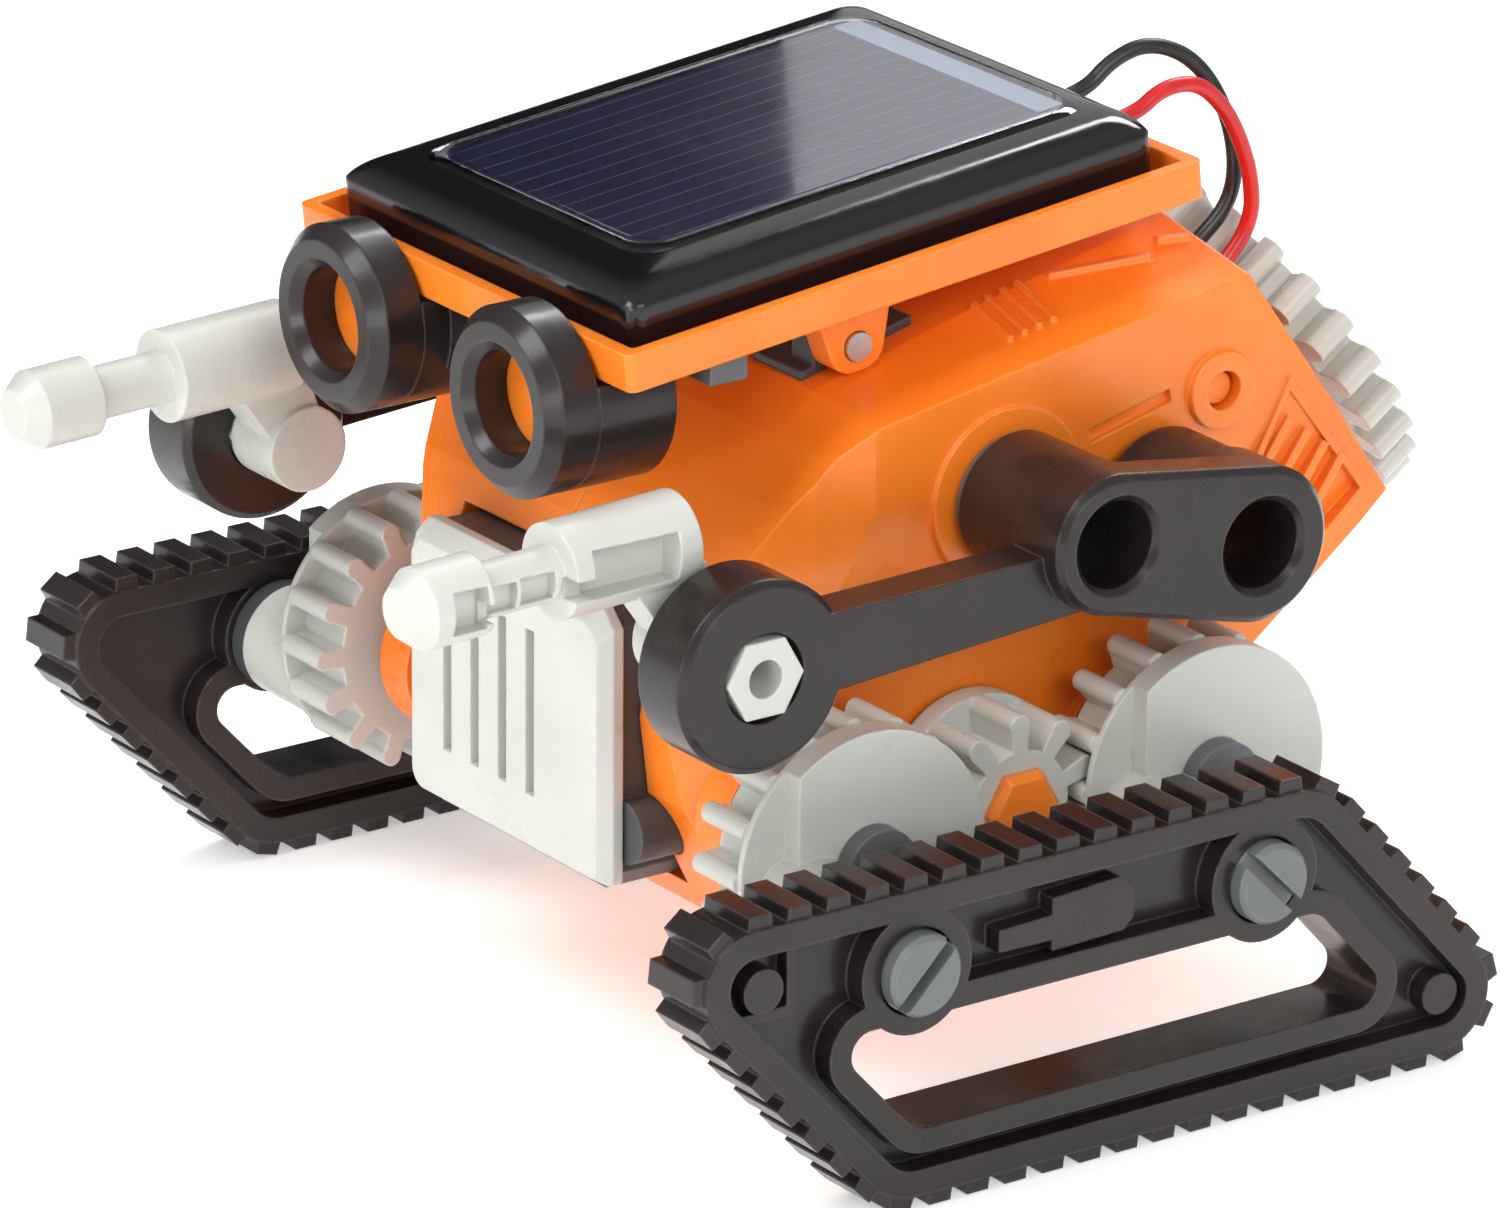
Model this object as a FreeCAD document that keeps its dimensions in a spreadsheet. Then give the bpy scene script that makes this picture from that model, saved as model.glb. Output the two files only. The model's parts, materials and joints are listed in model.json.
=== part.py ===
"""Solar robot kit: a hand-sized walking robot with a solar roof, two rocker-driven track feet,
two swinging arms with blasters, a tilting head and a toothed flywheel at the back.

Frame: +Z up, +X to the robot's left-hand track seen from behind, -Y the face.
Origin: ground plane under the foot pads, on the centre plane, at the middle of the whole length.
Lengths along Y below are counted from the midpoint between the foot pins; the finished pieces
are moved to the origin at the end.
"""
import FreeCAD, Part
import math
import os
import Sketcher

Vector = FreeCAD.Vector
Rotation = FreeCAD.Rotation
Placement = FreeCAD.Placement

# ------------------------------------------------------------------ driving dimensions, mm
DIMENSIONS = {
    # foot tracks
    "track_in": 45.8, "track_width": 7.0, "pad_inset": 0.3, "pad_width": 6.4,
    "pad_pitch": 4.0, "pad_long": 2.6, "pad_high": 1.2, "rim_deep": 2.3,
    "boss_radius": 5.65, "head_out": 1.6, "pin_span": 18.4, "pin_height": 21.8, "shank_radius": 2.5,
    "front_bore": 2.56, "rear_bore": 2.8, "counterbore": 3.9, "head_radius": 3.65,
    # walking gears
    "gear_height": 25.2, "middle_y": 5.9, "gear_span": 18.4,
    "petal_in": 28.4, "petal_long": 6.0, "flange_in": 26.2, "flange_thick": 2.2,
    "petal_root": 5.2, "petal_tip": 8.5, "petal_width": 1.9,
    "leaf_in": 29.3, "leaf_long": 6.0, "leaf_root": 9.6, "leaf_tip": 12.4, "leaf_width": 1.75,
    "drum_radius": 12.0, "drum_thick": 2.7, "crank_radius": 6.8, "post_radius": 5.2,
    "post_long": 8.4, "bushing_long": 1.95, "cap_radius": 3.65, "cap_thick": 2.1,
    "journal_radius": 2.0, "journal_clear": 0.05,
    "hex_flats": 6.5, "round_radius": 2.0, "axle_half": 35.6, "axle_bore": 3.85,
    # inner gear train
    "fine_module": 0.6, "wheel_teeth": 30, "pinion_teeth": 10,
    "motor_radius": 6.0, "motor_long": 22.0, "shaft_radius": 1.2,
    # flywheel
    "fly_module": 1.415, "fly_teeth": 27, "fly_thick": 4.3, "fly_tip": 20.8, "fly_root": 17.6,
    "fly_shaft": 1.5, "worm_radius": 2.3,
    # body
    "body_half": 28.0, "shoulder_half": 19.0, "wall_x": 21.8,
    "house_half": 14.8, "house_front": 22.4, "house_back": 14.2, "cover_edge": 1.0, "cover_bevel": 1.2,
    # head
    "tray_half": 25.4, "tray_long": 60.76, "tray_high": 3.4, "tray_rim": 1.3, "tray_tilt": 6.24,
    "panel_half": 22.4, "panel_from": 2.6, "panel_long": 55.4, "panel_side": 2.6, "panel_top": 4.4,
    "cell_half": 16.0, "cell_from": 8.9, "cell_to": 54.3, "resin_top": 4.8,
    "hinge_y": -1.5, "hinge_z": 64.5, "hinge_radius": 1.3, "ear_radius": 2.3,
    "eye_x": 13.4, "eye_z": 63.6, "eye_radius": 8.4, "eye_hole": 4.6, "eye_long": 4.9,
    # arms and blasters
    "arm_in": 37.5, "arm_face": 44.0, "barrel_in": 29.5, "elbow_y": 8.7, "elbow_z": 51.4,
    "rear_y": 24.4, "rear_z": 48.3, "hole_radius": 3.95, "peg_radius": 3.87,
    "ring_y": -26.4, "ring_z": 46.1, "ring_radius": 8.5, "ring_hole": 4.0,
    "gun_x": 30.3, "gun_z": 55.5, "gun_drop": 2.5, "rim_cut": 0.6,
    # leads
    "lead_width": 1.45,
    # from the midpoint between the foot pins to the centre of the whole length
    "origin_y": 6.4,
}

doc = FreeCAD.newDocument("solar_robot_kit")
sheet = doc.addObject("Spreadsheet::Sheet", "dims")
for row, (alias, value) in enumerate(DIMENSIONS.items(), start=1):
    sheet.set("A%d" % row, alias)
    sheet.set("B%d" % row, str(value))
    sheet.setAlias("B%d" % row, alias)
doc.recompute()


def dim(alias):
    """One driving dimension, read back from the sheet."""
    return float(sheet.get(alias))


NODES = []
ORIGIN_ROLE = {"YZ": "YZ_Plane", "XZ": "XZ_Plane", "XY": "XY_Plane"}


def keep(thing, label):
    """Names a finished sub-part after the file that it goes to."""
    thing.Label = label
    NODES.append(thing)
    return thing


# ------------------------------------------------------------------ outlines
def segments(points):
    """Closed outline of straight lines."""
    edges = []
    for here, there in zip(points, points[1:] + points[:1]):
        edges.append(Part.LineSegment(Vector(*here, 0), Vector(*there, 0)))
    return edges


def rounded(points, radii):
    """Closed outline with each corner rounded by its own radius."""
    count = len(points)
    if not isinstance(radii, (list, tuple)):
        radii = [radii] * count
    corners = []
    for i in range(count):
        corner = Vector(*points[i], 0)
        back = Vector(*points[i - 1], 0) - corner
        ahead = Vector(*points[(i + 1) % count], 0) - corner
        back.normalize()
        ahead.normalize()
        half = back.getAngle(ahead) / 2
        if radii[i] <= 0:
            corners.append((corner, None, corner))
            continue
        reach = radii[i] / math.tan(half)
        middle = back + ahead
        middle.normalize()
        centre = corner + middle * (radii[i] / math.sin(half))
        top = centre - middle * radii[i]
        corners.append((corner + back * reach, top, corner + ahead * reach))
    edges = []
    for i in range(count):
        enter, top, leave = corners[i]
        if top is not None:
            edges.append(Part.Arc(enter, top, leave))
        edges.append(Part.LineSegment(leave, corners[(i + 1) % count][0]))
    return edges


def disc(y, z, radius):
    """One circle; radius is a number or a sheet expression."""
    return ("disc", y, z, radius)


def grown(points, amount):
    """Convex outline moved outwards by amount."""
    count = len(points)
    middle = Vector(sum(p[0] for p in points) / count, sum(p[1] for p in points) / count, 0)
    moved = []
    for i in range(count):
        here = Vector(*points[i], 0)
        turns = []
        for other in (Vector(*points[i - 1], 0), Vector(*points[(i + 1) % count], 0)):
            along = other - here
            along.normalize()
            out = Vector(along.y, -along.x, 0)
            if out.dot(here - middle) < 0:
                out = out * -1
            turns.append(out)
        step = (turns[0] + turns[1]) * (amount / (1 + turns[0].dot(turns[1])))
        moved.append((here.x + step.x, here.y + step.y))
    return moved


# ------------------------------------------------------------------ features
def sketch(body, name, plane, loops, start="0"):
    """Sketch on one of the body's own origin planes, moved along the plane's normal by start."""
    outline = body.newObject("Sketcher::SketchObject", name)
    for feature in body.Origin.OriginFeatures:
        if feature.Role == ORIGIN_ROLE[plane]:
            outline.AttachmentSupport = [(feature, "")]
    outline.MapMode = "FlatFace"
    outline.setExpression(".AttachmentOffset.Base.z", start)
    for loop in loops:
        if isinstance(loop, tuple) and loop[0] == "disc":
            _, across, up, radius = loop
            size = radius if isinstance(radius, (int, float)) else 1.0
            circle = outline.addGeometry(Part.Circle(Vector(across, up, 0), Vector(0, 0, 1), size))
            item = outline.addConstraint(Sketcher.Constraint("Radius", circle, size))
            if not isinstance(radius, (int, float)):
                outline.setExpression("Constraints[%d]" % item, radius)
            outline.addConstraint(Sketcher.Constraint("DistanceX", -1, 1, circle, 3, across))
            outline.addConstraint(Sketcher.Constraint("DistanceY", -1, 1, circle, 3, up))
        else:
            outline.addGeometry(loop)
    return outline


def spans(start, length, side):
    """Start of a slab on the right (side 1) or mirrored to the left (side -1)."""
    return start if side > 0 else "-(%s) - (%s)" % (start, length)


def slab(body, name, loops, start, length, side=1, plane="YZ"):
    """Pad from start over length along the plane's normal."""
    outline = sketch(body, name + "_outline", plane, loops, spans(start, length, side))
    pad = body.newObject("PartDesign::Pad", name)
    pad.Profile = outline
    pad.setExpression("Length", length)
    body.Tip = pad
    return pad


def cut(body, name, loops, start, length, side=1, plane="YZ"):
    """Pocket from start over length along the plane's normal; must remove material."""
    doc.recompute()
    before = body.Shape.Volume
    outline = sketch(body, name + "_outline", plane, loops, spans(start, length, side))
    pocket = body.newObject("PartDesign::Pocket", name)
    pocket.Profile = outline
    pocket.setExpression("Length", length)
    pocket.Reversed = True
    body.Tip = pocket
    doc.recompute()
    if body.Shape.Volume > before - 1e-3:
        raise RuntimeError(name + " cuts nothing")
    return pocket


def tapered(body, name, low, start, high, stop, side=1, plane="YZ", cutting=False):
    """Straight loft between two outlines at two distances along the plane's normal."""
    first = sketch(body, name + "_low", plane, [low], "%d * (%s)" % (side, start))
    last = sketch(body, name + "_high", plane, [high], "%d * (%s)" % (side, stop))
    kind = "PartDesign::SubtractiveLoft" if cutting else "PartDesign::AdditiveLoft"
    loft = body.newObject(kind, name)
    loft.Profile = first
    loft.Sections = [last]
    loft.Ruled = True
    body.Tip = loft
    return loft


def around(body, feature, count, plane_axis="X_Axis"):
    """Polar pattern of one feature about an axis of the body."""
    doc.recompute()
    pattern = body.newObject("PartDesign::PolarPattern", feature.Name + "_pattern")
    pattern.Originals = [feature]
    for origin in body.Origin.OriginFeatures:
        if origin.Role == plane_axis:
            pattern.Axis = (origin, [""])
    pattern.Angle = 360.0
    if isinstance(count, str):
        pattern.setExpression("Occurrences", count)
    else:
        pattern.Occurrences = count
    body.Tip = pattern
    return pattern


def turned(body, name, profile):
    """Solid turned about the body's Y axis from a half profile of (radius, along) points."""
    outline = sketch(body, name + "_profile", "XY", [segments(profile)])
    turn = body.newObject("PartDesign::Revolution", name)
    turn.Profile = outline
    for origin in body.Origin.OriginFeatures:
        if origin.Role == "Y_Axis":
            turn.ReferenceAxis = (origin, [""])
    turn.Angle = 360.0
    body.Tip = turn
    return turn


def new_body(label, base=(0, 0, 0), turn=None):
    """Empty body with its own label and placement."""
    body = doc.addObject("PartDesign::Body", label)
    body.Placement = Placement(Vector(*base), turn or Rotation())
    return keep(body, label)


def rod(name, radius, length, base, along):
    """Cylinder whose radius and length are sheet expressions."""
    piece = doc.addObject("Part::Cylinder", name)
    piece.setExpression("Radius", radius)
    piece.setExpression("Height", length)
    piece.Placement = Placement(Vector(*base), Rotation(Vector(0, 0, 1), Vector(*along)))
    return piece


def brick(name, sizes, base, turn=None):
    """Box whose three sizes are sheet expressions."""
    piece = doc.addObject("Part::Box", name)
    piece.setExpression("Length", sizes[0])
    piece.setExpression("Width", sizes[1])
    piece.setExpression("Height", sizes[2])
    piece.Placement = Placement(Vector(*base), turn or Rotation())
    return piece


def joined(name, pieces):
    """Fusion of several pieces."""
    fusion = doc.addObject("Part::MultiFuse", name)
    fusion.Shapes = pieces
    return fusion


def minus(name, base, tool):
    """One piece cut by another."""
    result = doc.addObject("Part::Cut", name)
    result.Base = base
    result.Tool = tool
    return result


def hexagon(y, z, flats, spin=0.0):
    """Hexagon outline by its width across flats."""
    reach = flats / math.sqrt(3)
    corners = []
    for k in range(6):
        angle = math.radians(60 * k + spin)
        corners.append((y + reach * math.cos(angle), z + reach * math.sin(angle)))
    return segments(corners)


def bar(y0, z0, y1, z1, width):
    """Straight bar between two points, as a rectangle of the given width."""
    along = Vector(y1 - y0, z1 - z0, 0)
    along.normalize()
    side = Vector(-along.y, along.x, 0) * (width / 2)
    return segments([(y0 + side.x, z0 + side.y), (y1 + side.x, z1 + side.y),
                     (y1 - side.x, z1 - side.y), (y0 - side.x, z0 - side.y)])


def stadium(ya, za, radius_a, yb, zb, radius_b):
    """Two circles of their own radii, wrapped by their outer tangents."""
    first = Vector(ya, za, 0)
    second = Vector(yb, zb, 0)
    heading = math.atan2(zb - za, yb - ya)
    lean = math.acos((radius_a - radius_b) / (second - first).Length)

    def spot(centre, radius, angle):
        return centre + Vector(math.cos(angle), math.sin(angle), 0) * radius

    top_a = spot(first, radius_a, heading + lean)
    top_b = spot(second, radius_b, heading + lean)
    low_a = spot(first, radius_a, heading - lean)
    low_b = spot(second, radius_b, heading - lean)
    return [Part.LineSegment(top_a, top_b), Part.Arc(top_b, spot(second, radius_b, heading), low_b),
            Part.LineSegment(low_b, low_a),
            Part.Arc(low_a, spot(first, radius_a, heading + math.pi), top_a)]


SIDES = (("right", 1), ("left", -1))

# ------------------------------------------------------------------ foot tracks
TRACK = [(24.6, 29.1), (-46.2, 29.1), (-20.8, 1.2), (50.0, 1.2)]
WINDOW = [(24.4, 17.5), (-27.6, 17.5), (-18.3, 7.3), (33.7, 7.3)]
TRACK_ROUND = [6.6, 5.0, 6.6, 5.0]


def pad_rectangles():
    """Small tread pads, evenly spaced all round the track outline."""
    edges = [edge.toShape() for edge in rounded(TRACK, TRACK_ROUND)]
    path = Part.Wire(Part.__sortEdges__(edges))
    count = int(round(path.Length / dim("pad_pitch")))
    half = dim("pad_long") / 2
    centre = Vector(sum(p[0] for p in TRACK) / 4, sum(p[1] for p in TRACK) / 4, 0)
    points = path.discretize(Number=4 * count + 1)
    rectangles = []
    for k in range(count):
        here = points[4 * k + 2]
        along = points[4 * k + 3] - points[4 * k + 1]
        along.normalize()
        out = Vector(along.y, -along.x, 0)
        if out.dot(here - centre) < 0:
            out = out * -1
        foot = here - out * 0.35
        top = here + out * dim("pad_high")
        rectangles.append(segments([tuple(p)[:2] for p in (
            foot - along * half, foot + along * half,
            top + along * (half - 0.2), top - along * (half - 0.2))]))
    return rectangles


def make_track(word, side):
    body = new_body("track_" + word)
    slab(body, "frame", [rounded(TRACK, TRACK_ROUND)], "dims.track_in", "dims.track_width", side)
    slab(body, "pads", pad_rectangles(), "dims.track_in + dims.pad_inset", "dims.pad_width", side)
    cut(body, "window", [rounded(WINDOW, [3.0, 2.0, 3.0, 2.0])],
        "dims.track_in - 1", "dims.track_width + 2", side)
    inner = rounded(grown(TRACK, -2.4), [4.2, 2.6, 4.2, 2.6])
    around_window = rounded(grown(WINDOW, 2.2), [5.2, 4.2, 5.2, 4.2])
    cut(body, "outer_channel", [inner, around_window],
        "dims.track_in + dims.track_width - dims.rim_deep", "dims.rim_deep", side)
    cut(body, "inner_channel", [inner, around_window], "dims.track_in", "dims.rim_deep", side)
    for word2, across in (("front", -dim("pin_span")), ("rear", dim("pin_span"))):
        slab(body, word2 + "_boss", [disc(across, dim("pin_height"), "dims.boss_radius")],
             "dims.track_in", "dims.track_width", side)
    slab(body, "key_block", [segments([(-9.6, 21.3), (-9.6, 23.3), (-4.0, 23.5), (-4.0, 25.0),
                                       (3.0, 25.4), (4.6, 24.4), (4.6, 21.4), (3.6, 20.4),
                                       (-4.0, 20.2), (-4.0, 21.2)])],
         "dims.track_in + dims.track_width - dims.rim_deep - 0.2", "dims.rim_deep - 0.2", side)
    slab(body, "front_peg", [disc(-33.9, 23.4, 2.0)],
         "dims.track_in + dims.track_width - dims.rim_deep - 0.2", "dims.rim_deep - 0.1", side)
    slab(body, "front_ledge", [segments([(-38.0, 20.4), (-30.2, 20.4), (-30.2, 26.6),
                                         (-31.2, 26.6), (-31.2, 21.4), (-38.0, 21.4)])],
         "dims.track_in + dims.track_width - dims.rim_deep - 0.2", "dims.rim_deep - 0.6", side)
    slab(body, "rear_peg", [disc(38.5, 6.5, 1.9)],
         "dims.track_in + dims.track_width - dims.rim_deep - 0.2", "dims.rim_deep - 0.1", side)
    cut(body, "front_bore_hole", [disc(-dim("pin_span"), dim("pin_height"), "dims.front_bore")],
        "dims.track_in - 1", "dims.track_width + 2", side)
    cut(body, "rear_bore_hole", [disc(dim("pin_span"), dim("pin_height"), "dims.rear_bore")],
        "dims.track_in - 1", "dims.track_width + 2", side)
    for word2, across in (("front", -dim("pin_span")), ("rear", dim("pin_span"))):
        cut(body, word2 + "_counterbore", [disc(across, dim("pin_height"), "dims.counterbore")],
            "dims.track_in + dims.track_width - 2", "3", side)


for word, side in SIDES:
    make_track(word, side)

# ------------------------------------------------------------------ walking gears and cranks
MIDDLE_Y = dim("middle_y")
GEAR_Z = dim("gear_height")
ENDS = (("front", -1, -45.0), ("rear", 1, 45.0))
CRANK_DY = dim("crank_radius") * math.cos(math.radians(210))
CRANK_DZ = dim("crank_radius") * math.sin(math.radians(210))


def tooth(root, tip, width, angle, waist=1.0):
    """Rounded tooth pointing away from the axis at the given angle."""
    spin = math.radians(angle)
    out = Vector(math.cos(spin), math.sin(spin), 0)
    over = Vector(-out.y, out.x, 0)
    half = width / 2
    foot = root - 0.6
    shoulder = tip - half
    points = [out * foot + over * half * waist, out * foot - over * half * waist,
              out * (shoulder - 0.5) - over * half, out * tip,
              out * (shoulder - 0.5) + over * half]
    return [Part.LineSegment(points[0], points[1]), Part.LineSegment(points[1], points[2]),
            Part.Arc(points[2], points[3], points[4]), Part.LineSegment(points[4], points[0])]


def make_middle_gear(word, side):
    body = new_body("middle_gear_" + word, (0, MIDDLE_Y, GEAR_Z))
    bore = hexagon(0, 0, dim("hex_flats"))
    slab(body, "flange", [disc(0, 0, "dims.petal_tip"), bore],
         "dims.flange_in", "dims.flange_thick", side)
    slab(body, "core", [disc(0, 0, "dims.petal_root"), bore],
         "dims.petal_in", "dims.petal_long", side)
    petal = slab(body, "petal", [tooth(dim("petal_root"), dim("petal_tip"), dim("petal_width"), 18, 0.75)],
                 "dims.petal_in", "dims.petal_long", side)
    around(body, petal, 10)


def make_crank(word, side, end, way, slot):
    centre_y = MIDDLE_Y + way * dim("gear_span")
    base = (0, centre_y, GEAR_Z)
    gear = new_body("crank_gear_%s_%s" % (end, word), base)
    journal = disc(0, 0, "dims.journal_radius + dims.journal_clear")
    slab(gear, "core", [disc(0, 0, "dims.leaf_root")], "dims.leaf_in", "dims.leaf_long", side)
    leaf = slab(gear, "leaf", [tooth(dim("leaf_root"), dim("leaf_tip"), dim("leaf_width"), 0, 1.2)],
                "dims.leaf_in", "dims.leaf_long", side)
    around(gear, leaf, 16)
    slab(gear, "drum", [disc(0, 0, "dims.drum_radius")],
         "dims.leaf_in + dims.leaf_long", "dims.drum_thick", side)
    slab(gear, "post", [disc(CRANK_DY, CRANK_DZ, "dims.post_radius")],
         "dims.leaf_in + dims.leaf_long", "dims.post_long", side)
    cut(gear, "pin_socket", [disc(CRANK_DY, CRANK_DZ, "dims.shank_radius")],
        "dims.leaf_in + dims.leaf_long + 1.0", "dims.post_long", side)
    cut(gear, "front_relief", [segments([(-13, -9.5), (-7.5, -9.5), (-7.5, 9.5), (-13, 9.5)])],
        "dims.leaf_in + dims.leaf_long + 0.6", "dims.drum_thick", side)
    slab(gear, "post_again", [disc(CRANK_DY, CRANK_DZ, "dims.post_radius"),
                              disc(CRANK_DY, CRANK_DZ, "dims.shank_radius")],
         "dims.leaf_in + dims.leaf_long + 0.5", "dims.post_long - 0.5", side)
    cut(gear, "cap_seat", [disc(0, 0, "dims.cap_radius")],
        "dims.leaf_in + dims.leaf_long + dims.drum_thick - 0.4", "dims.cap_thick + 0.6", side)
    cut(gear, "journal_bore", [disc(0, 0, "dims.journal_radius")],
        "dims.leaf_in - 1", "dims.leaf_long + dims.drum_thick + 2", side)

    cap = new_body("gear_cap_%s_%s" % (end, word), base)
    slab(cap, "journal", [disc(0, 0, "dims.journal_radius")], "22.6",
         "dims.leaf_in + dims.leaf_long + dims.drum_thick - 23", side)
    slab(cap, "cap", [disc(0, 0, "dims.cap_radius")],
         "dims.leaf_in + dims.leaf_long + dims.drum_thick - 0.4", "dims.cap_thick", side)
    cut(cap, "slot", [bar(-4.4, 0, 4.4, 0, 1.2)],
        "dims.leaf_in + dims.leaf_long + dims.drum_thick + dims.cap_thick - 1.5", "1.5", side)

    pin_y = centre_y + CRANK_DY
    pin_z = GEAR_Z + CRANK_DZ
    bushing = new_body("crank_bushing_%s_%s" % (end, word), (0, pin_y, pin_z))
    slab(bushing, "ring", [disc(0, 0, "dims.post_radius - 0.1"), disc(0, 0, "dims.shank_radius")],
         "dims.leaf_in + dims.leaf_long + dims.post_long", "dims.bushing_long", side)

    pin = new_body("track_pin_%s_%s" % (end, word), (0, pin_y, pin_z))
    slab(pin, "shank", [disc(0, 0, "dims.shank_radius")],
         "dims.leaf_in + dims.leaf_long + 1.0",
         "dims.track_in + dims.track_width - 1.9 - dims.leaf_in - dims.leaf_long - 1.0", side)
    slab(pin, "head", [disc(0, 0, "dims.head_radius")],
         "dims.track_in + dims.track_width - 1.9", "1.9 + dims.head_out - 0.4", side)
    tapered(pin, "head_rim", disc(0, 0, "dims.head_radius"),
            "dims.track_in + dims.track_width + dims.head_out - 0.4",
            disc(0, 0, "dims.head_radius - 0.4"), "dims.track_in + dims.track_width + dims.head_out", side)
    spin = math.radians(slot)
    reach = 4.4
    across = math.cos(spin) * reach
    up = -math.sin(spin) * reach
    cut(pin, "slot", [bar(-across, -up, across, up, 1.3)],
        "dims.track_in + dims.track_width", "dims.head_out + 0.5", side)


for word, side in SIDES:
    make_middle_gear(word, side)
    for end, way, slot in ENDS:
        make_crank(word, side, end, way, slot)

axle = new_body("main_axle", (0, MIDDLE_Y, GEAR_Z))
slab(axle, "round_bar", [disc(0, 0, "dims.round_radius")], "-dims.wall_x - 1", "2 * dims.wall_x + 2")
for word, side in SIDES:
    slab(axle, "hex_end_" + word, [hexagon(0, 0, dim("hex_flats"))], "dims.wall_x + 0.2",
         "dims.axle_half - 0.5 - dims.wall_x - 0.2", side)
    tapered(axle, "hex_tip_" + word, hexagon(0, 0, dim("hex_flats")), "dims.axle_half - 0.5",
            hexagon(0, 0, dim("hex_flats") - 1.0), "dims.axle_half", side)

# ------------------------------------------------------------------ body half shells
UNDERSIDE = [(-14.0, 14.0), (19.0, 14.0), (38.1, 31.0), (44.7, 36.7), (49.0, 40.5), (51.6, 43.1)]
OUTER = UNDERSIDE + [(34.7, 66.5), (7.8, 62.1), (-4.8, 59.9), (-8.6, 57.8), (-12.4, 53.8),
                     (-15.0, 50.2), (-17.3, 46.4), (-19.4, 40.5), (-20.3, 33.0), (-19.4, 26.0),
                     (-17.1, 20.5)]
SHOULDER = UNDERSIDE + [(32.2, 70.1), (7.8, 64.4), (-5.3, 61.0), (-9.2, 57.6), (-12.9, 53.0),
                        (-15.2, 49.8), (-17.5, 46.4), (-19.6, 40.5), (-20.5, 33.0), (-19.6, 26.0),
                        (-17.3, 20.5)]
CENTRE = UNDERSIDE + [(32.2, 70.1), (7.8, 64.4), (-5.3, 61.0), (-9.2, 57.4), (-12.9, 52.6),
                      (-14.9, 49.9), (-17.2, 46.6), (-19.6, 40.5), (-20.5, 33.0), (-19.6, 26.0),
                      (-17.3, 20.5)]
ROOM = [(-12.6, 15.5), (18.4, 15.5), (37.2, 32.4), (48.9, 42.9), (49.6, 43.4), (33.6, 64.6),
        (7.8, 60.2), (-4.4, 57.4), (-7.6, 54.6), (-10.6, 51.2), (-12.6, 48.4)]
NOSE = [(28.5, -3.0), (26.8, -10.5), (24.6, -15.0), (22.4, -18.0), (18.5, -20.9), (18.5, -32.0),
        (36.0, -32.0), (36.0, -3.0)]
FLY_AXIS = Vector(0, 0.8116, 0.5843)
FLY_CENTRE = Vector(0, 56.2, 52.0)


def loft_shell(body, side):
    """Side of the body: flat flank, sloped shoulder, rounded front."""
    flank = sketch(body, "flank", "YZ", [segments(OUTER)], "%d * dims.body_half" % side)
    shoulder = sketch(body, "shoulder", "YZ", [segments(SHOULDER)], "%d * dims.shoulder_half" % side)
    middle = sketch(body, "middle", "YZ", [segments(CENTRE)], "0")
    loft = body.newObject("PartDesign::AdditiveLoft", "skin")
    loft.Profile = flank
    loft.Sections = [shoulder, middle]
    loft.Ruled = True
    body.Tip = loft
    return loft


def shoulder_height(x, y):
    """Height of the sloped shoulder above the ground."""
    inner = 64.4 + 0.2336 * (y - 7.8)
    outer = 62.1 + 0.1636 * (y - 7.8)
    return inner + (outer - inner) * max(x - 19.0, 0.0) / 9.0


def bar_section(x, y):
    """Small upright rectangle that stands out of the shoulder."""
    height = shoulder_height(abs(x), y)
    return segments([(x - 0.35, height - 0.9), (x + 0.35, height - 0.9),
                     (x + 0.35, height + 0.45), (x - 0.35, height + 0.45)])


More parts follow.
